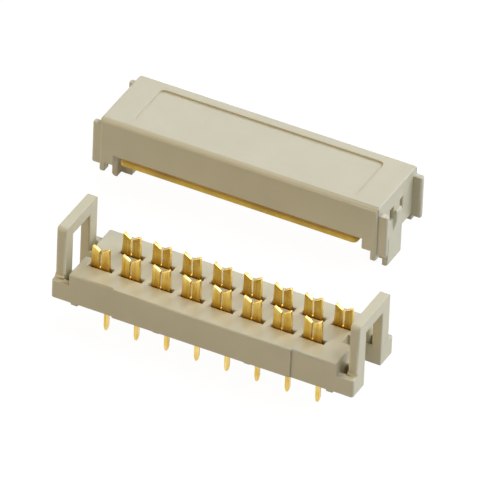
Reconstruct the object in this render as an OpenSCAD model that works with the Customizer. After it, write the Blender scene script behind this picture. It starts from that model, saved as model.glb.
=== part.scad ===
// Two-piece ribbon cable connector for a circuit board.
// The base carries two rows of insulation-piercing contacts and stands on their solder tails.
// The cover presses the flat cable onto the contacts. It is shown taken off, behind the base.
// Origin: middle of the solder tails' grid, on the face of the board. X runs along the rows.

/* [Contacts] */
// Contacts in each of the two rows
contacts_per_row = 8; // [4:1:16]
// Spacing of the solder tails along a row and between the rows
pitch = 2.54; // [2.4:0.02:3]
// Thickness of the contact strip
contact_t = 0.3; // [0.25:0.05:0.5]
// Width of a fork where it leaves the base
fork_w = 1.55; // [1.2:0.05:1.65]
// Width of a fork across its two tips
tip_w = 1.4; // [1.1:0.05:1.5]
// Flat left on each tip
tip_flat = 0.05; // [0.03:0.01:0.12]
// Height of a fork above the base's block
fork_h = 1.85; // [1.6:0.05:2.4]
// Depth of the wire lead-in between the tips
lead_in = 0.36; // [0.2:0.02:0.6]
// Width of the wire slot
slot_w = 0.18; // [0.14:0.02:0.3]
// Height of the slot's round end above the base's block
slot_root = 0.02; // [0.02:0.02:0.3]
// Width of a contact's shoulders inside the base
shoulder_w = 1.85; // [1.65:0.05:1.85]
// Depth of the shoulders below the top of the base's block
shoulder_drop = 0.3; // [0.2:0.05:0.6]
// Width of a solder tail
tail_w = 0.36; // [0.3:0.02:0.5]
// Length of a solder tail below the face of the board
tail_len = 2.8; // [2.2:0.1:4]
// Length of a tail's tapered end
tail_taper = 0.4; // [0.2:0.05:0.8]

/* [Base] */
// Depth of the base and of the cover
body_depth = 6.75; // [6.5:0.05:8]
// Height of the block that holds the contacts
block_h = 2.6; // [2.3:0.1:4]
// Distance from the last fork's middle to the end of the block
end_margin = 1.675; // [1.5:0.025:3]
// Height of the shelves at the ends of the block
shelf_h = 1.55; // [1.2:0.05:2]
// Thickness of a latch post
post_t = 0.8; // [0.6:0.05:1.2]
// Width of a latch post
post_w = 5.2; // [4.8:0.1:5.4]
// Height of a latch post above its shelf
post_h = 4.45; // [3.8:0.05:5]
// Height of the bar across the top of a latch post
bar_h = 1.15; // [0.6:0.05:1.4]
// Rounding of a latch post's upper corners
post_r = 0.4; // [0.1:0.05:0.5]
// Rounding of a latch post's upright edges
post_edge_r = 0.18; // [0.05:0.01:0.25]
// Rounding between a latch post and its shelf
post_fillet = 0.25; // [0.1:0.05:0.35]
// Width across the two pockets behind a latch post, which let its legs flex
flex_w = 5.2; // [4.2:0.1:5.4]
// Depth of those pockets below the shelf
flex_depth = 1.1; // [0.4:0.05:1.1]
// Thickness of the wall between those pockets and the slot
flex_wall = 0.3; // [0.2:0.05:0.4]
// Width of the window in a latch post and of the slot below it
window_w = 2.6; // [2.3:0.1:3]
// Distance from the end of the block to the raised middle of the base's front
raised_margin = 3.75; // [2:0.05:5]
// Setback of the front on both sides of its raised middle
front_step = 0.12; // [0.02:0.02:0.2]
// Height of the seating pads under the base
pad_h = 0.15; // [0.1:0.05:0.4]
// Side of a square seating pad
pad_side = 0.6; // [0.4:0.05:0.8]
// Distance from the end of the block to the middle of the last pad
pad_margin = 0.5; // [0.4:0.05:0.7]
// Rounding of the base's upright corners
base_r = 0.25; // [0.1:0.05:0.5]
// Rounding of the block's upper long edges
block_edge_r = 0.15; // [0.05:0.05:0.3]

/* [Cover] */
// Height of the cover above its cable face
cover_h = 3.2; // [2.8:0.1:4.5]
// Gap that the stops leave for the cable between the cover and the block
cable_gap = 0.88; // [0.7:0.02:1.1]
// Thickness of the cover's end walls
end_wall = 0.5; // [0.4:0.05:0.8]
// Length of the stops that rest on the block
stop_len = 0.75; // [0.5:0.05:0.8]
// Drop of the end walls below the stops
wall_drop = 0.12; // [0.05:0.01:0.3]
// Height of the corner legs below the cable face
leg_h = 1.65; // [1.4:0.05:1.85]
// Height of the guide ribs above the cable face
rib_top = 2.5; // [2:0.05:2.7]
// Height of the guide ribs below the cable face
rib_drop = 1.2; // [0.8:0.05:1.5]
// Reach of the guide ribs from the end walls
rib_reach = 0.75; // [0.6:0.05:0.85]
// Rounding of a guide rib's upright edges
rib_r = 0.2; // [0.05:0.01:0.22]
// Rounding of a guide rib's upper outer corner
rib_top_r = 0.12; // [0.05:0.01:0.3]
// Setback of the guide ribs from the cover's front and back
rib_inset = 0.2; // [0.02:0.02:0.24]
// Thickness of the stem behind each tongue
stem_w = 0.9; // [0.7:0.05:1]
// Reach of the stem from the end wall into the base
stem_len = 0.9; // [0.6:0.05:1]
// Bevel at the lower edge of each tongue
tongue_bevel = 0.15; // [0.05:0.05:0.25]
// Reach of the latch wedge into the window
latch_reach = 0.25; // [0.2:0.05:0.5]
// Height of the latch wedge's upright face
latch_face = 0.9; // [0.6:0.05:1.2]
// Height of the latch wedge's ramp
latch_ramp = 1.2; // [0.5:0.05:1.4]
// Distance from the latch wedge to the relief pocket beside it
pocket_gap = 0.04; // [0.02:0.01:0.3]
// Width of a relief pocket
pocket_w = 0.6; // [0.3:0.02:0.6]
// Height of a relief pocket
pocket_h = 1.1; // [0.7:0.05:1.2]
// Height of a relief pocket above the latch wedge
pocket_rise = 0.4; // [0:0.05:0.5]
// Depth of a relief pocket
pocket_depth = 0.9; // [0.5:0.05:0.9]
// Rounding of the cover's upper long edges
cover_r = 0.45; // [0.2:0.05:0.8]
// Rounding of the cover's upper end edges
cover_end_r = 0.15; // [0.05:0.05:0.3]
// Rounding of the cover's upright corners
cover_corner_r = 0.2; // [0.05:0.01:0.25]
// Distance from the cover's ends to the sunk panel in its top
top_panel_end = 2.25; // [1.5:0.05:4]
// Distance from the cover's long sides to the sunk panel in its top
top_panel_side = 1.05; // [0.9:0.05:1.6]
// Depth of the sunk panel in the cover's top
top_panel_depth = 0.16; // [0.05:0.01:0.3]
// Corner radius of the sunk panel
top_panel_r = 0.45; // [0.2:0.05:0.8]
// Place of the cover beside the base, along the rows
cover_shift_x = -5.9; // [-12:0.1:12]
// Place of the cover behind the base
cover_shift_y = 17.4; // [9:0.1:30]

/* [Adhesive tape] */
// Thickness of the tape
tape_t = 0.22; // [0.1:0.02:0.3]
// Thickness of the liner that protects it
liner_t = 0.42; // [0.2:0.02:0.5]
// Gap between the tape's end and the stop
tape_gap = 0.45; // [0.2:0.05:0.8]
// Setback of the tape from the cover's front and back
tape_inset = 0.06; // [0:0.02:0.3]
// Corner radius of the tape and the liner
tape_r = 0.4; // [0.2:0.05:0.8]

/* [Fits] */
// Clearance between the cover's guides and the base
slide_clear = 0.08; // [0.04:0.01:0.12]
// Clearance of the tongue in its slot, on each side
tongue_clear = 0.18; // [0.1:0.02:0.3]
// Clearance of the latch wedge in the window, on each side
latch_side = 0.85; // [0.7:0.05:0.95]
// Clearance between the latch wedge and the bar above it
latch_clear = 0.1; // [0.05:0.01:0.2]
// Clearance of a contact in its opening
contact_clear = 0.06; // [0.04:0.01:0.1]
// Clearance of a fork in the cover
fork_clear = 0.2; // [0.1:0.02:0.24]
// Clearance between the tongue and the board
board_clear = 0.05; // [0.02:0.01:0.08]
// Thickness of the base's floor under a contact's shoulders
floor_t = 0.7; // [0.5:0.05:1]

/* [Hidden] */
$fn = 48;
eps = 0.01;
housing_colour = [0.80, 0.78, 0.71];
cover_colour = [0.82, 0.80, 0.74];
gold_colour = [0.86, 0.66, 0.24];
tape_colour = [0.55, 0.38, 0.12];
liner_colour = [0.80, 0.58, 0.18];

// Rows: the forks of the two rows are half a pitch apart, the tails share one grid
row_y = pitch / 2;
tail_offset = pitch / 4;
half_count = (contacts_per_row - 1) / 2;
last_fork_x = half_count * pitch + tail_offset;

// Lengths along X, from the middle outwards
block_half = last_fork_x + end_margin;
wall_in = block_half + slide_clear;
wall_out = wall_in + end_wall;
post_in = wall_out + slide_clear;
base_half = post_in + post_t;
stop_in = wall_in - stop_len;
stem_in = wall_in - stem_len;
tape_half = stop_in - tape_gap;
raised_half = block_half - raised_margin;
rib_end = wall_out + rib_reach;
mid_pad_x = 1.5 * pitch;
end_pad_x = block_half - pad_margin;

// Depths along Y
side_y = body_depth / 2;
rib_in = post_w / 2 + slide_clear;
rib_out = side_y - rib_inset;
pad_y = side_y - front_step - pad_side / 2;
tongue_w = window_w - 2 * tongue_clear;
latch_w = window_w - 2 * latch_side;
aperture_w = max(shoulder_w, fork_w) + 2 * contact_clear;
aperture_d = contact_t + 2 * contact_clear;
cavity_w = fork_w + 2 * fork_clear;
cavity_d = contact_t + 2 * fork_clear;

// Heights of the base above the board
block_top = pad_h + block_h;
shelf_top = pad_h + shelf_h;
seat_z = pad_h + floor_t;
fork_top = block_top + fork_h;
window_top = shelf_top + post_h - bar_h;

// Heights of the cover above its own cable face
tongue_low = -(cable_gap + block_h + pad_h - board_clear);
wall_low = -(cable_gap + wall_drop);
ledge_z = window_top - block_top - cable_gap - latch_clear;
cavity_depth = fork_h - cable_gap + fork_clear;
latch_low = ledge_z - latch_face - latch_ramp;

// The cover stands on its tongues, level with the ends of the solder tails
cover_z = -tail_len - tongue_low;

front_names = [for (i = [1 : contacts_per_row]) str("contact_front_", i)];
back_names = [for (i = [1 : contacts_per_row]) str("contact_back_", i)];

// Middle of a tail, counted from 1 at the left end
function tail_x(i) = (i - 1 - half_count) * pitch;
// Middle of a fork: the front row leans to the left of its tails, the back row to the right
function fork_x(i, row) = tail_x(i) + row * tail_offset;

// Solid from a profile drawn in X and Z, centred on Y
module extrude_y(depth) {
    rotate([90, 0, 0]) linear_extrude(depth, center = true) children();
}

// Solid from a profile drawn in Y and Z, centred on X
module extrude_x(length) {
    rotate([90, 0, 90]) linear_extrude(length, center = true) children();
}

// The same thing at both ends
module both_ends() {
    children();
    mirror([1, 0, 0]) children();
}

// The same thing at the front and at the back
module both_sides() {
    children();
    mirror([0, 1, 0]) children();
}

// Rectangle with round corners
module round_rect(w, d, r) {
    square([w - 2 * r, d], center = true);
    square([w, d - 2 * r], center = true);
    for (x = [-1, 1], y = [-1, 1])
        translate([x * (w / 2 - r), y * (d / 2 - r)]) circle(r);
}

// Rectangle standing on the first axis, with round upper corners
module round_top(w, low, high, r) {
    translate([-w / 2, low]) square([w, high - r - low]);
    translate([-w / 2 + r, low]) square([w - 2 * r, high - low]);
    for (s = [-1, 1])
        translate([s * (w / 2 - r), high - r]) circle(r);
}

// Places a shape at every fork: row -1 is the front one, row 1 the back one
module each_fork() {
    for (row = [-1, 1], i = [1 : contacts_per_row])
        translate([fork_x(i, row), row * row_y, 0]) children();
}

// Base

// Stretch of the base along X, with its front set back and its upper long edges round
module base_stretch(half, setback) {
    translate([0, setback / 2, 0])
        extrude_x(2 * half) round_top(body_depth - setback, pad_h, block_top, block_edge_r);
}

// Block and end shelves, before anything is cut
module base_body() {
    intersection() {
        extrude_y(body_depth) {
            translate([-block_half, pad_h]) square([2 * block_half, block_h]);
            translate([-base_half, pad_h]) square([2 * base_half, shelf_h]);
        }
        union() {
            intersection() {
                base_stretch(base_half, front_step);
                translate([0, front_step / 2, pad_h])
                    linear_extrude(block_h) round_rect(2 * base_half, body_depth - front_step, base_r);
            }
            base_stretch(raised_half, 0);
        }
    }
}

// Outline of a latch post: two legs, a bar across their tops and round feet on the shelf
module post_outline() {
    difference() {
        union() {
            round_top(post_w, shelf_top - eps, shelf_top + post_h, post_r);
            for (s = [-1, 1])
                translate([s * (post_w / 2 + post_fillet / 2), shelf_top + post_fillet / 2])
                    square(post_fillet, center = true);
        }
        translate([-window_w / 2, shelf_top - 2 * eps]) square([window_w, post_h - bar_h + 2 * eps]);
        for (s = [-1, 1])
            translate([s * (post_w / 2 + post_fillet), shelf_top + post_fillet]) circle(post_fillet);
    }
}

// Plan of a latch post: round upright edges above its feet
module post_plan() {
    foot_top = shelf_top + post_fillet;
    translate([0, 0, shelf_top - eps])
        linear_extrude(post_fillet + 2 * eps) square([post_t, post_w + 2 * post_fillet], center = true);
    translate([0, 0, foot_top])
        linear_extrude(post_h) round_rect(post_t, post_w, post_edge_r);
}

// Latch post at the right end
module latch_post() {
    translate([base_half - post_t / 2, 0, 0])
        intersection() {
            extrude_x(post_t) post_outline();
            post_plan();
        }
}

// Opening for one contact: a wide top for the shoulders, a narrow hole for the tail
module contact_opening(row) {
    translate([-aperture_w / 2, -aperture_d / 2, seat_z])
        cube([aperture_w, aperture_d, block_h]);
    translate([-row * tail_offset, 0, pad_h + floor_t / 2])
        cube([tail_w + 2 * contact_clear, aperture_d, floor_t + 2 * eps], center = true);
}

// Slot for a tongue through the shelf, the narrow groove for its stem and the pockets behind the post
module tongue_slot() {
    flex_in = window_w / 2 + flex_wall;
    both_sides()
        translate([block_half, flex_in, shelf_top - flex_depth])
            cube([post_in - block_half, flex_w / 2 - flex_in, flex_depth + eps]);
    translate([block_half, -window_w / 2, 0])
        cube([base_half - block_half + eps, window_w, shelf_top + eps]);
    translate([stem_in - slide_clear, -stem_w / 2 - slide_clear, 0])
        cube([block_half - stem_in + slide_clear + eps, stem_w + 2 * slide_clear, block_top + eps]);
}

// Pads that hold the base off the board
module seating_pads() {
    for (x = [-end_pad_x, -mid_pad_x, mid_pad_x, end_pad_x], y = [-pad_y, pad_y])
        translate([x - pad_side / 2, y - pad_side / 2, 0])
            cube([pad_side, pad_side, pad_h + eps]);
}

module base_housing() {
    color(housing_colour) {
        difference() {
            union() {
                base_body();
                both_ends() latch_post();
                seating_pads();
            }
            both_ends() tongue_slot();
            for (row = [-1, 1], i = [1 : contacts_per_row])
                translate([fork_x(i, row), row * row_y, 0]) contact_opening(row);
        }
    }
}

// Contacts

// Flat outline of a contact, drawn about its fork: fork, shoulders and a tail set to one side
module contact_outline() {
    vee_low = fork_top - lead_in;
    difference() {
        polygon([
            [-tip_w / 2, fork_top],
            [-tip_w / 2 + tip_flat, fork_top],
            [-slot_w / 2, vee_low],
            [slot_w / 2, vee_low],
            [tip_w / 2 - tip_flat, fork_top],
            [tip_w / 2, fork_top],
            [fork_w / 2, block_top],
            [fork_w / 2, block_top - shoulder_drop],
            [shoulder_w / 2, block_top - shoulder_drop],
            [shoulder_w / 2, seat_z],
            [tail_offset + tail_w / 2, seat_z],
            [tail_offset + tail_w / 2, -tail_len + tail_taper],
            [tail_offset + tail_w / 4, -tail_len],
            [tail_offset - tail_w / 4, -tail_len],
            [tail_offset - tail_w / 2, -tail_len + tail_taper],
            [tail_offset - tail_w / 2, seat_z],
            [-shoulder_w / 2, seat_z],
            [-shoulder_w / 2, block_top - shoulder_drop],
            [-fork_w / 2, block_top - shoulder_drop],
            [-fork_w / 2, block_top]
        ]);
        translate([-slot_w / 2, block_top + slot_root + slot_w / 2])
            square([slot_w, fork_h]);
        translate([0, block_top + slot_root + slot_w / 2]) circle(slot_w / 2);
    }
}

// One contact: the back row's is the same piece turned half round
module contact(i, row) {
    color(gold_colour)
        translate([fork_x(i, row), row * row_y, 0])
            rotate([0, 0, row < 0 ? 0 : 180])
                extrude_y(contact_t) contact_outline();
}

// Cover, drawn about its cable face

module at_cover() {
    translate([cover_shift_x, cover_shift_y, cover_z]) children();
}

// Bar with round upper edges, end walls and the stops that rest on the block
module cover_body() {
    intersection() {
        extrude_y(body_depth) {
            round_top(2 * wall_out, 0, cover_h, cover_end_r);
            for (s = [-1, 1]) {
                translate([s * (wall_in + wall_out) / 2, (wall_low + eps) / 2])
                    square([end_wall, eps - wall_low], center = true);
                translate([s * (stop_in + wall_in + eps) / 2, (eps - cable_gap) / 2])
                    square([stop_len + eps, cable_gap + eps], center = true);
            }
        }
        extrude_x(2 * wall_out) round_top(body_depth, wall_low - eps, cover_h, cover_r);
        cover_plan();
    }
}

// Plan of the cover, with round upright corners
module cover_plan() {
    translate([0, 0, -leg_h])
        linear_extrude(leg_h + cover_h) round_rect(2 * wall_out, body_depth, cover_corner_r);
}

// Outline of a guide rib, with a round upper outer corner
module rib_outline() {
    root = wall_out - eps;
    translate([root, -rib_drop]) square([rib_end - root, rib_drop + rib_top - rib_top_r]);
    translate([root, -rib_drop]) square([rib_end - root - rib_top_r, rib_drop + rib_top]);
    translate([rib_end - rib_top_r, rib_top - rib_top_r]) circle(rib_top_r);
}

// Guide rib with round upright edges
module guide_rib() {
    intersection() {
        extrude_y(body_depth) rib_outline();
        translate([wall_out, (rib_in + rib_out) / 2, -rib_drop])
            linear_extrude(rib_drop + rib_top)
                round_rect(2 * rib_reach, rib_out - rib_in, rib_r);
    }
}

// Corner leg and guide rib that run past a latch post, at one end and one side
module corner_guide() {
    intersection() {
        translate([wall_in, rib_in, -leg_h])
            cube([end_wall, side_y - rib_in, leg_h + eps]);
        cover_plan();
    }
    guide_rib();
}

// Tongue that runs down inside a latch post, with its stem
module tongue() {
    extrude_y(tongue_w)
        polygon([
            [wall_in, 0],
            [wall_in, tongue_low],
            [wall_out - tongue_bevel, tongue_low],
            [wall_out, tongue_low + tongue_bevel],
            [wall_out, 0]
        ]);
    translate([stem_in, -stem_w / 2, tongue_low])
        cube([stem_len + eps, stem_w, -tongue_low + eps]);
}

// Wedge that snaps below the bar of a latch post
module latch_wedge() {
    extrude_y(latch_w)
        polygon([
            [wall_out - eps, ledge_z],
            [wall_out + latch_reach, ledge_z],
            [wall_out + latch_reach, ledge_z - latch_face],
            [wall_out - eps, latch_low]
        ]);
}

// Relief pocket beside a latch wedge
module latch_pocket() {
    translate([wall_out - pocket_depth, latch_w / 2 + pocket_gap, ledge_z + pocket_rise - pocket_h])
        cube([pocket_depth + eps, pocket_w, pocket_h]);
}

module cover() {
    color(cover_colour) at_cover() difference() {
        union() {
            cover_body();
            both_ends() {
                both_sides() corner_guide();
                tongue();
                latch_wedge();
            }
        }
        both_ends() both_sides() latch_pocket();
        translate([0, 0, cover_h - top_panel_depth])
            linear_extrude(top_panel_depth + eps)
                round_rect(2 * (wall_out - top_panel_end), body_depth - 2 * top_panel_side, top_panel_r);
        each_fork()
            translate([-cavity_w / 2, -cavity_d / 2, -eps])
                cube([cavity_w, cavity_d, cavity_depth + eps]);
    }
}

// Tape and liner under the cover

module tape_outline() {
    round_rect(2 * tape_half, body_depth - 2 * tape_inset, tape_r);
}

module adhesive_tape() {
    color(tape_colour) at_cover() translate([0, 0, -tape_t])
        linear_extrude(tape_t) tape_outline();
}

module release_liner() {
    color(liner_colour) at_cover() translate([0, 0, -tape_t - liner_t])
        linear_extrude(liner_t) tape_outline();
}

base_housing();
cover();
adhesive_tape();
release_liner();
for (i = [1 : contacts_per_row])
    contact(i, -1);
for (i = [1 : contacts_per_row])
    contact(i, 1);
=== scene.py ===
"""Looks of a two-piece ribbon cable connector: moulded base and cover, gold contacts, tape and liner."""

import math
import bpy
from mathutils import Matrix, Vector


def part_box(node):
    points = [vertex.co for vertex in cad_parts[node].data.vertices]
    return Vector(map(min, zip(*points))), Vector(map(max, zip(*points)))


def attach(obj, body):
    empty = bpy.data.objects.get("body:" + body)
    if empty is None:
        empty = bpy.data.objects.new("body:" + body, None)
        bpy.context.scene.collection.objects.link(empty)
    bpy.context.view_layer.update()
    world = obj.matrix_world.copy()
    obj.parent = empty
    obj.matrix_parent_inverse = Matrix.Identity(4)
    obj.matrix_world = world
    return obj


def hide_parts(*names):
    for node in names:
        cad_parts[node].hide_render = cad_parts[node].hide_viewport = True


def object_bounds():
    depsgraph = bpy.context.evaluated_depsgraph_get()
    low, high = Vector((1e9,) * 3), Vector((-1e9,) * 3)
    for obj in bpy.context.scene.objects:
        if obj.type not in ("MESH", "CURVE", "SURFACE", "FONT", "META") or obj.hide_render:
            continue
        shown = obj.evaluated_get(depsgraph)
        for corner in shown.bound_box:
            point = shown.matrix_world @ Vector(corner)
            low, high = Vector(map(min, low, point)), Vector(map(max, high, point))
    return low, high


bl_info = {
    "name": "Ribbon Cable Connector",
    "version": (1, 0, 0),
    "blender": (4, 5, 0),
    "location": "View3D > Sidebar > Connector",
    "description": "Finishes the moulded and plated pieces of a ribbon cable connector",
    "category": "Object",
}

import bmesh
import bpy
from mathutils import Matrix, Vector
from mathutils.geometry import intersect_point_line

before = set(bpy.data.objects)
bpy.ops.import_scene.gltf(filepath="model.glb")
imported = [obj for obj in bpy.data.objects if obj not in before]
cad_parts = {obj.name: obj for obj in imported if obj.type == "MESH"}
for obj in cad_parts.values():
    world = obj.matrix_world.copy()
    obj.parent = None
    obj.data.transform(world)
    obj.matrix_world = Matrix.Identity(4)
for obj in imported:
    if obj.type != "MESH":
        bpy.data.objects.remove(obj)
cad_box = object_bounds()

MM = 0.001
BODY = "root"
CONTACT_NAMES = sorted(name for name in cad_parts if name.startswith("contact_"))
FORK_HEIGHT = 1.85 * MM         # of the contacts' forks above the base

# Rounding of the edges
SHARP_FOLD = math.radians(40)   # folds sharper than this are rounded
SOFT_TURN = math.radians(35)    # edges that meet more gently than this share one rounding
FLAT_FOLD = math.radians(0.5)   # faces that meet more gently than this are one flat face
CREASE = math.radians(50)       # the shading breaks at folds sharper than this
SAME_POINT = 0.001 * MM         # points closer than this are one
ROOM_TAKEN = 0.4                # share of a face's width that a rounding may take
LEAST_ROUNDING = 0.008 * MM     # finer roundings are left out
ROUNDING_STEPS = 2              # strips of faces across a rounding
FACE_PULL = 100                 # how strongly large faces set the shading beside them

# Range that soft noise mostly fills
NOISE_LOW = 0.3
NOISE_HIGH = 0.7

# Studio, in metres, watts and degrees; azimuth 0 is the front and 90 the right
WHITE = 1.0                     # strength of the backdrop as it is seen
FLOOR_GLOW = 1.12               # strength of the floor's own white as it is seen
FLOOR_VEIL = 0.85               # share of that white over the lit floor, which keeps the shadow faint
FLOOR_REACH = 2.0               # from the object's middle to the floor's edges
PICTURE_WIDTH = 36              # of the camera, in millimetres
CAMERA_RANGE = (0.05, 20)       # nearest and farthest that the camera sees
COOL = (0.71, 0.805, 1.0)       # tint of the lamps behind and above
COLD = (0.73, 0.81, 1.0)        # tint of the lamp at the right
WARM = (1.0, 0.84, 0.6)         # tint of the fill in front
LAMPS = {
    "behind": dict(azimuth=205, elevation=37, distance=0.36, size=0.16, power=0.14, tint=COOL),
    "behind_right": dict(azimuth=154, elevation=36, distance=0.36, size=0.09, power=0.35, tint=COOL),
    "right": dict(azimuth=116, elevation=38, distance=0.36, size=0.45, power=1.66, tint=COLD),
    "above": dict(azimuth=180, elevation=86, distance=0.36, size=0.3, power=0.25, tint=COOL),
    "front_left": dict(azimuth=-45, elevation=34, distance=0.4, size=0.3, power=0.75, tint=WARM),
}


# Properties that a user would change

class MouldedFinish(bpy.types.PropertyGroup):
    """Finish of the two plastic mouldings."""

    base_colour: bpy.props.FloatVectorProperty(
        name="Base", description="Colour of the base's plastic", subtype="COLOR",
        size=3, min=0, max=1, default=(0.575, 0.505, 0.315))
    cover_colour: bpy.props.FloatVectorProperty(
        name="Cover", description="Colour of the cover's plastic", subtype="COLOR",
        size=3, min=0, max=1, default=(0.575, 0.51, 0.33))
    edge_radius: bpy.props.FloatProperty(
        name="Edge radius", description="Rounding of the mouldings' edges",
        subtype="DISTANCE", unit="LENGTH", precision=6, default=0.12 * MM)
    base_roughness: bpy.props.FloatProperty(
        name="Base roughness", description="Roughness of the base's satin surface",
        subtype="FACTOR", min=0, max=1, default=0.42)
    cover_roughness: bpy.props.FloatProperty(
        name="Cover roughness", description="Roughness of the cover's satin surface",
        subtype="FACTOR", min=0, max=1, default=0.42)


class ContactFinish(bpy.types.PropertyGroup):
    """Finish of the plated contacts."""

    gold_colour: bpy.props.FloatVectorProperty(
        name="Gold", description="Colour of the gold plating", subtype="COLOR",
        size=3, min=0, max=1, default=(0.88, 0.6, 0.12))
    edge_radius: bpy.props.FloatProperty(
        name="Edge radius", description="Rounding of the stamped edges",
        subtype="DISTANCE", unit="LENGTH", precision=6, default=0.03 * MM)
    roughness: bpy.props.FloatProperty(
        name="Roughness", description="Roughness of the plating",
        subtype="FACTOR", min=0, max=1, default=0.26)


class StripFinish(bpy.types.PropertyGroup):
    """Finish of the tape and its liner."""

    tape_colour: bpy.props.FloatVectorProperty(
        name="Tape", description="Colour of the adhesive tape", subtype="COLOR",
        size=3, min=0, max=1, default=(0.52, 0.285, 0.024))
    tape_edge: bpy.props.FloatProperty(
        name="Tape edge radius", description="Rounding of the tape's edges",
        subtype="DISTANCE", unit="LENGTH", precision=6, default=0.02 * MM)
    liner_colour: bpy.props.FloatVectorProperty(
        name="Liner", description="Colour of the release liner", subtype="COLOR",
        size=3, min=0, max=1, default=(0.76, 0.5, 0.045))
    liner_edge: bpy.props.FloatProperty(
        name="Liner edge radius", description="Rounding of the liner's edges",
        subtype="DISTANCE", unit="LENGTH", precision=6, default=0.05 * MM)


class StudioSetup(bpy.types.PropertyGroup):
    """Camera and light."""

    azimuth: bpy.props.FloatProperty(
        name="Azimuth", description="Turn of the camera about the upright axis, from the front",
        subtype="ANGLE", default=math.radians(25.78))
    elevation: bpy.props.FloatProperty(
        name="Elevation", description="Height of the camera above the horizon",
        subtype="ANGLE", default=math.radians(36.387))
    roll: bpy.props.FloatProperty(
        name="Roll", description="Tilt of the camera about its own axis",
        subtype="ANGLE", default=math.radians(2.495))
    distance: bpy.props.FloatProperty(
        name="Distance", description="Distance from the camera to the point it looks at",
        subtype="DISTANCE", unit="LENGTH", default=893.72 * MM)
    aim: bpy.props.FloatVectorProperty(
        name="Aim", description="Point that the camera looks at", subtype="XYZ", unit="LENGTH",
        size=3, precision=5, default=(-0.059 * MM, 2.78 * MM, 6.182 * MM))
    lens: bpy.props.FloatProperty(
        name="Lens", description=f"Focal length of the camera on a {PICTURE_WIDTH} mm wide picture",
        subtype="DISTANCE_CAMERA", default=900)
    ambient: bpy.props.FloatProperty(
        name="Ambient", description="Strength of the even light from all round", min=0, default=0.06)
    floor_colour: bpy.props.FloatVectorProperty(
        name="Floor", description="Colour of the floor", subtype="COLOR",
        size=3, min=0, max=1, default=(0.6, 0.6, 0.59))


# Node helpers

def new_material(name):
    """An empty node material and its node tree."""
    material = bpy.data.materials.new(name)
    material.use_nodes = True
    tree = material.node_tree
    tree.nodes.clear()
    return material, tree


def add_node(tree, kind, **values):
    """A node of that kind, with values set on its properties or its inputs."""
    node = tree.nodes.new(kind)
    for key, value in values.items():
        if hasattr(node, key):
            setattr(node, key, value)
        else:
            node.inputs[key.replace("_", " ").title()].default_value = value
    return node


def millimetre_coordinates(tree, stretch=(1, 1, 1)):
    """Object coordinates in millimetres, stretched for a drawn or layered grain."""
    place = add_node(tree, "ShaderNodeTexCoord")
    mapping = add_node(tree, "ShaderNodeMapping", scale=[share / MM for share in stretch])
    tree.links.new(place.outputs["Object"], mapping.inputs["Vector"])
    return mapping.outputs["Vector"]


def noise(tree, vector, scale, detail, roughness=0.5):
    """Soft noise with that many waves to the millimetre."""
    node = add_node(tree, "ShaderNodeTexNoise", scale=scale, detail=detail, roughness=roughness)
    tree.links.new(vector, node.inputs["Vector"])
    return node.outputs["Fac"]


def spread(tree, value, at_low, at_high):
    """A value that runs evenly from one end to the other as the noise rises."""
    node = add_node(tree, "ShaderNodeMapRange",
                    from_min=NOISE_LOW, from_max=NOISE_HIGH, to_min=at_low, to_max=at_high)
    tree.links.new(value, node.inputs["Value"])
    return node.outputs["Result"]


def two_tones(tree, value, colour, dark, light, depth=0.0):
    """A colour that drifts between a darker, deeper tone of itself and a lighter, paler one."""
    peak = max(colour)
    node = add_node(tree, "ShaderNodeValToRGB")
    low, high = node.color_ramp.elements
    low.position = NOISE_LOW
    low.color = [c * dark * (c / peak) ** depth for c in colour] + [1]
    high.position = NOISE_HIGH
    high.color = [min(1, c * light * (peak / c) ** depth) for c in colour] + [1]
    tree.links.new(value, node.inputs["Fac"])
    return node.outputs["Color"]


def painted_shade_near(tree, colour, level, reach, shares):
    """A colour darkened by painted shade close to a level, down to those shares of its red, green and
    blue.
    """
    place = add_node(tree, "ShaderNodeTexCoord")
    parts = add_node(tree, "ShaderNodeSeparateXYZ")
    rise = add_node(tree, "ShaderNodeMath", operation="SUBTRACT")
    rise.inputs[1].default_value = level
    away = add_node(tree, "ShaderNodeMath", operation="ABSOLUTE")
    fade = add_node(tree, "ShaderNodeMapRange", interpolation_type="SMOOTHSTEP", from_max=reach)
    tint = add_node(tree, "ShaderNodeValToRGB")
    tint.color_ramp.elements[0].color = (*shares, 1)
    tint.color_ramp.elements[1].color = (1, 1, 1, 1)
    shaded = add_node(tree, "ShaderNodeVectorMath", operation="MULTIPLY")
    tree.links.new(place.outputs["Object"], parts.inputs["Vector"])
    tree.links.new(parts.outputs["Z"], rise.inputs[0])
    tree.links.new(rise.outputs[0], away.inputs[0])
    tree.links.new(away.outputs[0], fade.inputs["Value"])
    tree.links.new(fade.outputs["Result"], tint.inputs["Fac"])
    tree.links.new(colour, shaded.inputs[0])
    tree.links.new(tint.outputs["Color"], shaded.inputs[1])
    return shaded.outputs["Vector"]


def bump(tree, height, depth, strength):
    """Surface relief of that depth in metres."""
    node = add_node(tree, "ShaderNodeBump", strength=strength, distance=depth)
    tree.links.new(height, node.inputs["Height"])
    return node.outputs["Normal"]


def seen_ray(tree):
    """1 for a ray from the camera, off a glossy face or through glass, and 0 for the rest."""
    path = add_node(tree, "ShaderNodeLightPath")
    seen = add_node(tree, "ShaderNodeMath", operation="MAXIMUM")
    seen_or_through = add_node(tree, "ShaderNodeMath", operation="MAXIMUM")
    tree.links.new(path.outputs["Is Camera Ray"], seen.inputs[0])
    tree.links.new(path.outputs["Is Glossy Ray"], seen.inputs[1])
    tree.links.new(seen.outputs[0], seen_or_through.inputs[0])
    tree.links.new(path.outputs["Is Transmission Ray"], seen_or_through.inputs[1])
    return seen_or_through.outputs[0]


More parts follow.
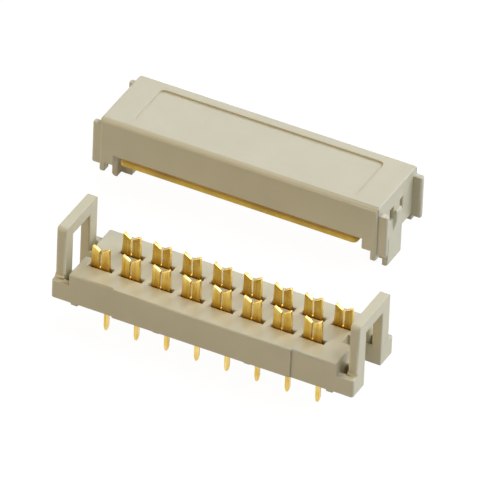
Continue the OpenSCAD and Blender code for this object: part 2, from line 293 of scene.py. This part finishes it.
def shader_with_output(tree):
    """A Principled shader joined to the material's output."""
    shader = add_node(tree, "ShaderNodeBsdfPrincipled")
    output = add_node(tree, "ShaderNodeOutputMaterial")
    tree.links.new(shader.outputs["BSDF"], output.inputs["Surface"])
    return shader


def join(tree, shader, colour, roughness, normal):
    """Joins a finish's colour, roughness and relief to its shader."""
    tree.links.new(colour, shader.inputs["Base Color"])
    tree.links.new(roughness, shader.inputs["Roughness"])
    tree.links.new(normal, shader.inputs["Normal"])


# Materials

def moulded_plastic(name, colour, roughness):
    """Satin moulded plastic: slow drift of tone, fine grain from the mould and a soft sheen."""
    material, tree = new_material(name)
    shader = shader_with_output(tree)
    vector = millimetre_coordinates(tree)
    drift = noise(tree, vector, scale=0.35, detail=3)
    grain = noise(tree, vector, scale=14, detail=3, roughness=0.6)
    join(tree, shader,
         colour=two_tones(tree, drift, colour, dark=0.97, light=1.03),
         roughness=spread(tree, grain, at_low=roughness - 0.05, at_high=roughness + 0.07),
         normal=bump(tree, grain, depth=0.004 * MM, strength=0.5))
    shader.inputs["IOR"].default_value = 1.6
    return material


def gold_plating(name, colour, roughness, foot):
    """Gold over a stamped strip: lines drawn along the contact, and painted shade that deepens the gold at
    the foot of the fork.
    """
    material, tree = new_material(name)
    shader = shader_with_output(tree)
    even = millimetre_coordinates(tree)
    drawn = millimetre_coordinates(tree, stretch=(1, 1, 0.08))
    drift = noise(tree, even, scale=1.3, detail=2)
    lines = noise(tree, drawn, scale=4.5, detail=3, roughness=0.65)
    tone = add_node(tree, "ShaderNodeMix", data_type="FLOAT", factor=0.3)
    tree.links.new(lines, tone.inputs["A"])
    tree.links.new(drift, tone.inputs["B"])
    gold = two_tones(tree, tone.outputs["Result"], colour, dark=0.68, light=1.12, depth=0.32)
    join(tree, shader,
         # painted shade: the gold deepens towards the fork's foot, where it stands in its dark slot
         colour=painted_shade_near(tree, gold, foot, reach=0.85 * MM, shares=(0.62, 0.51, 0.24)),
         roughness=spread(tree, lines, at_low=roughness + 0.06, at_high=roughness - 0.06),
         normal=bump(tree, lines, depth=0.006 * MM, strength=0.5))
    shader.inputs["Metallic"].default_value = 1.0
    return material


def amber_film(name, colour, roughness, coat, shade_level):
    """Amber strip: cloudy tone, painted shade that deepens it near the joint of tape and liner, a fine
    fibrous edge and a thin gloss.
    """
    material, tree = new_material(name)
    shader = shader_with_output(tree)
    even = millimetre_coordinates(tree)
    fibres = millimetre_coordinates(tree, stretch=(0.6, 1, 9))
    cloud = noise(tree, even, scale=0.3, detail=5, roughness=0.65)
    layers = noise(tree, fibres, scale=2.2, detail=3)
    amber = two_tones(tree, cloud, colour, dark=0.72, light=1.26, depth=0.12)
    join(tree, shader,
         # painted shade: the amber deepens near the joint of tape and liner
         colour=painted_shade_near(tree, amber, shade_level, reach=0.35 * MM, shares=(0.8, 0.77, 0.5)),
         roughness=spread(tree, layers, at_low=roughness - 0.06, at_high=roughness + 0.1),
         normal=bump(tree, layers, depth=0.006 * MM, strength=0.5))
    shader.inputs["Coat Weight"].default_value = coat
    shader.inputs["Coat Roughness"].default_value = 0.25
    return material


def studio_white(name, colour):
    """Pale floor: white to the camera and in reflections, with the object's shadow kept faint."""
    material, tree = new_material(name)
    lit = add_node(tree, "ShaderNodeBsdfDiffuse")
    lit.inputs["Color"].default_value = (*colour, 1)
    glow = add_node(tree, "ShaderNodeEmission", strength=FLOOR_GLOW)
    glow.inputs["Color"].default_value = (1, 1, 1, 1)
    veil = add_node(tree, "ShaderNodeMath", operation="MULTIPLY")
    veil.inputs[1].default_value = FLOOR_VEIL
    mix = add_node(tree, "ShaderNodeMixShader")
    output = add_node(tree, "ShaderNodeOutputMaterial")
    tree.links.new(seen_ray(tree), veil.inputs[0])
    tree.links.new(veil.outputs[0], mix.inputs["Fac"])
    tree.links.new(lit.outputs["BSDF"], mix.inputs[1])
    tree.links.new(glow.outputs["Emission"], mix.inputs[2])
    tree.links.new(mix.outputs["Shader"], output.inputs["Surface"])
    return material


# Mesh helpers

def along(loop):
    """Direction of an edge, the way its face runs."""
    return loop.link_loop_next.vert.co - loop.vert.co


def carried_on(loop, forward):
    """The edges that carry an edge on without a corner, one way round its face, and the one after them."""
    run = []
    here = loop
    while True:
        there = here.link_loop_next if forward else here.link_loop_prev
        if there == loop or along(here).angle(along(there), 0) > SOFT_TURN:
            return run, there
        run.append(there)
        here = there


def gap_between(edge, other):
    """Shortest distance between two edges of a face."""
    least = math.inf
    for one, two in ((edge, other), (other, edge)):
        start, end = (vert.co for vert in two.verts)
        for vert in one.verts:
            share = intersect_point_line(vert.co, start, end)[1]
            least = min(least, (vert.co - start.lerp(end, min(1, max(0, share)))).length)
    return least


def room_in_face(loop):
    """How far an edge lies from whatever else bounds one of its faces."""
    ahead, after = carried_on(loop, True)
    behind, before = carried_on(loop, False)
    least = math.sqrt(loop.face.calc_area())
    for other in loop.face.loops:
        if other == loop or other in ahead or other in behind:
            continue
        if (other == after and not ahead) or (other == before and not behind):
            least = min(least, along(other).length * math.sin(along(loop).angle(along(other), 0)))
        elif other != after and other != before:
            least = min(least, gap_between(loop.edge, other.edge))
    return least


def edge_radii(mesh, radius):
    """The rounding of each outer edge: the radius asked for, or less where there is little room."""
    radii = {}
    for edge in mesh.edges:
        if len(edge.link_faces) == 2 and edge.is_convex and edge.calc_face_angle(0) > SHARP_FOLD:
            radii[edge] = min([radius] + [ROOM_TAKEN * room_in_face(loop) for loop in edge.link_loops])
    # Edges that carry each other on take the least rounding among them
    settled = False
    while not settled:
        settled = True
        for edge in radii:
            for vert in edge.verts:
                out = edge.other_vert(vert).co - vert.co
                for other in vert.link_edges:
                    if radii.get(other, radius) >= radii[edge]:
                        continue
                    if out.angle(vert.co - other.other_vert(vert).co, math.pi) < SOFT_TURN:
                        radii[edge] = radii[other]
                        settled = False
    return {edge: value for edge, value in radii.items() if value > LEAST_ROUNDING}


def weighted_copy(node, radius, name):
    """A copy of a CAD node with its flat faces whole, and each edge's share of the rounding on it."""
    mesh = bmesh.new()
    mesh.from_mesh(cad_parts[node].data)
    bmesh.ops.remove_doubles(mesh, verts=mesh.verts, dist=SAME_POINT)
    bmesh.ops.dissolve_limit(mesh, angle_limit=FLAT_FOLD, verts=mesh.verts, edges=mesh.edges)
    share = mesh.edges.layers.float.new("bevel_weight_edge")
    for edge, value in edge_radii(mesh, radius).items():
        edge[share] = value / radius
    data = bpy.data.meshes.new(name)
    mesh.to_mesh(data)
    mesh.free()
    piece = bpy.data.objects.new(name, data)
    bpy.context.scene.collection.objects.link(piece)
    return piece


def rounded_copy(node, radius, name):
    """A copy of a CAD node with its outer edges softly rounded."""
    piece = weighted_copy(node, radius, name)
    plain = piece.data
    rounding = piece.modifiers.new("Edge rounding", "BEVEL")
    rounding.limit_method = "WEIGHT"
    rounding.width = radius
    rounding.segments = ROUNDING_STEPS
    rounding.use_clamp_overlap = False
    rounding.loop_slide = False
    data = bpy.data.meshes.new_from_object(piece.evaluated_get(bpy.context.evaluated_depsgraph_get()))
    piece.modifiers.clear()
    piece.data = data
    bpy.data.meshes.remove(plain)
    data.name = name
    data.shade_smooth()
    data.set_sharp_from_angle(angle=CREASE)
    settle = piece.modifiers.new("Weighted normals", "WEIGHTED_NORMAL")
    settle.keep_sharp = True
    settle.weight = FACE_PULL
    return piece


def dress(node, radius, material):
    """Puts a rounded, finished piece in a CAD node's place."""
    piece = rounded_copy(node, radius, node + "_finished")
    piece.data.materials.append(material)
    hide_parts(node)
    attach(piece, BODY)


# Stage helper

def direction(azimuth, elevation):
    """Way out from the object at those angles, in radians."""
    flat = math.cos(elevation)
    return Vector((math.sin(azimuth) * flat, -math.cos(azimuth) * flat, math.sin(elevation)))


# Operators

class CONNECTOR_OT_base(bpy.types.Operator):
    """Finish the moulded base"""

    bl_idname = "connector.base"
    bl_label = "Base Housing"

    def execute(self, context):
        finish = context.scene.connector_moulding
        plastic = moulded_plastic("base_plastic", finish.base_colour, finish.base_roughness)
        dress("base_housing", finish.edge_radius, plastic)
        return {"FINISHED"}


class CONNECTOR_OT_cover(bpy.types.Operator):
    """Finish the moulded cover"""

    bl_idname = "connector.cover"
    bl_label = "Cover"

    def execute(self, context):
        finish = context.scene.connector_moulding
        plastic = moulded_plastic("cover_plastic", finish.cover_colour, finish.cover_roughness)
        dress("cover", finish.edge_radius, plastic)
        return {"FINISHED"}


class CONNECTOR_OT_contacts(bpy.types.Operator):
    """Finish the plated contacts of both rows"""

    bl_idname = "connector.contacts"
    bl_label = "Contacts"

    def execute(self, context):
        finish = context.scene.connector_contacts
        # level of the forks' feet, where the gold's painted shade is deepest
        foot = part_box(CONTACT_NAMES[0])[1][2] - FORK_HEIGHT
        gold = gold_plating("contact_gold", finish.gold_colour, finish.roughness, foot)
        for name in CONTACT_NAMES:
            dress(name, finish.edge_radius, gold)
        return {"FINISHED"}


class CONNECTOR_OT_strip(bpy.types.Operator):
    """Finish the adhesive tape and its liner"""

    bl_idname = "connector.strip"
    bl_label = "Tape and Liner"

    def execute(self, context):
        finish = context.scene.connector_strip
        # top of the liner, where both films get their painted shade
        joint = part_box("release_liner")[1][2]
        tape = amber_film("tape", finish.tape_colour, roughness=0.5, coat=0.0, shade_level=joint)
        liner = amber_film("liner", finish.liner_colour, roughness=0.45, coat=0.1, shade_level=joint)
        dress("adhesive_tape", finish.tape_edge, tape)
        dress("release_liner", finish.liner_edge, liner)
        return {"FINISHED"}


class CONNECTOR_OT_stage(bpy.types.Operator):
    """Set up the floor, the lights, the backdrop and the camera"""

    bl_idname = "connector.stage"
    bl_label = "Stage"

    def execute(self, context):
        studio = context.scene.connector_studio
        middle = (Vector(cad_box[0]) + Vector(cad_box[1])) / 2
        self.floor(context.scene, studio, middle)
        self.backdrop(context.scene, studio)
        for name, lamp in LAMPS.items():
            self.soft_box(context.scene, name, middle, **lamp)
        self.camera(context.scene, studio)
        context.scene.view_settings.view_transform = "Standard"
        return {"FINISHED"}

    def floor(self, scene, studio, middle):
        """A wide pale floor at the level of the solder tails' ends."""
        level = cad_box[0][2]
        sides = (-FLOOR_REACH, FLOOR_REACH)
        corners = [(middle.x + x, middle.y + y, level) for y in sides for x in sides]
        data = bpy.data.meshes.new("floor")
        data.from_pydata(corners, [], [(0, 1, 3, 2)])
        data.materials.append(studio_white("studio_floor", studio.floor_colour))
        floor = bpy.data.objects.new("floor", data)
        scene.collection.objects.link(floor)

    def backdrop(self, scene, studio):
        """Even light all round, and white to the camera and in reflections."""
        world = bpy.data.worlds.new("studio")
        world.use_nodes = True
        tree = world.node_tree
        tree.nodes.clear()
        strength = add_node(tree, "ShaderNodeMapRange", to_min=studio.ambient, to_max=WHITE)
        background = add_node(tree, "ShaderNodeBackground")
        background.inputs["Color"].default_value = (1, 1, 1, 1)
        output = add_node(tree, "ShaderNodeOutputWorld")
        tree.links.new(seen_ray(tree), strength.inputs["Value"])
        tree.links.new(strength.outputs["Result"], background.inputs["Strength"])
        tree.links.new(background.outputs["Background"], output.inputs["Surface"])
        scene.world = world

    def soft_box(self, scene, name, middle, azimuth, elevation, distance, size, power, tint):
        """A square area light that faces the object."""
        lamp = bpy.data.lights.new(name, "AREA")
        lamp.energy = power
        lamp.size = size
        lamp.color = tint
        out = direction(math.radians(azimuth), math.radians(elevation))
        holder = bpy.data.objects.new(name, lamp)
        holder.location = middle + out * distance
        holder.rotation_euler = out.to_track_quat("Z", "Y").to_euler()
        scene.collection.objects.link(holder)

    def camera(self, scene, studio):
        """A long lens at the photograph's viewing angle."""
        back = direction(studio.azimuth, studio.elevation)
        level = Vector((math.cos(studio.azimuth), math.sin(studio.azimuth), 0))
        right = math.cos(studio.roll) * level + math.sin(studio.roll) * back.cross(level)
        up = back.cross(right)
        data = bpy.data.cameras.new("camera")
        data.lens = studio.lens
        data.sensor_width = PICTURE_WIDTH
        data.clip_start, data.clip_end = CAMERA_RANGE
        camera = bpy.data.objects.new("camera", data)
        place = Matrix((right, up, back)).transposed().to_4x4()
        place.translation = Vector(studio.aim) + back * studio.distance
        camera.matrix_world = place
        scene.collection.objects.link(camera)
        scene.camera = camera


class CONNECTOR_PT_panel(bpy.types.Panel):
    """Pieces and finishes of the connector"""

    bl_idname = "CONNECTOR_PT_panel"
    bl_label = "Ribbon Cable Connector"
    bl_space_type = "VIEW_3D"
    bl_region_type = "UI"
    bl_category = "Connector"

    def draw(self, context):
        for name, group in GROUPS.items():
            box = self.layout.box()
            for prop in group.__annotations__:
                box.prop(getattr(context.scene, name), prop)
        for operator in OPERATORS:
            self.layout.operator(operator.bl_idname)


GROUPS = {
    "connector_moulding": MouldedFinish,
    "connector_contacts": ContactFinish,
    "connector_strip": StripFinish,
    "connector_studio": StudioSetup,
}
OPERATORS = (
    CONNECTOR_OT_base,
    CONNECTOR_OT_cover,
    CONNECTOR_OT_contacts,
    CONNECTOR_OT_strip,
    CONNECTOR_OT_stage,
)


def register():
    for name, group in GROUPS.items():
        bpy.utils.register_class(group)
        setattr(bpy.types.Scene, name, bpy.props.PointerProperty(type=group))
    for operator in OPERATORS:
        bpy.utils.register_class(operator)
    bpy.utils.register_class(CONNECTOR_PT_panel)


def unregister():
    bpy.utils.unregister_class(CONNECTOR_PT_panel)
    for operator in reversed(OPERATORS):
        bpy.utils.unregister_class(operator)
    for name, group in GROUPS.items():
        delattr(bpy.types.Scene, name)
        bpy.utils.unregister_class(group)


def main():
    """Registers the classes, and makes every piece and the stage."""
    register()
    bpy.ops.connector.base()
    bpy.ops.connector.cover()
    bpy.ops.connector.contacts()
    bpy.ops.connector.strip()
    bpy.ops.connector.stage()


if __name__ == "__main__":
    main()
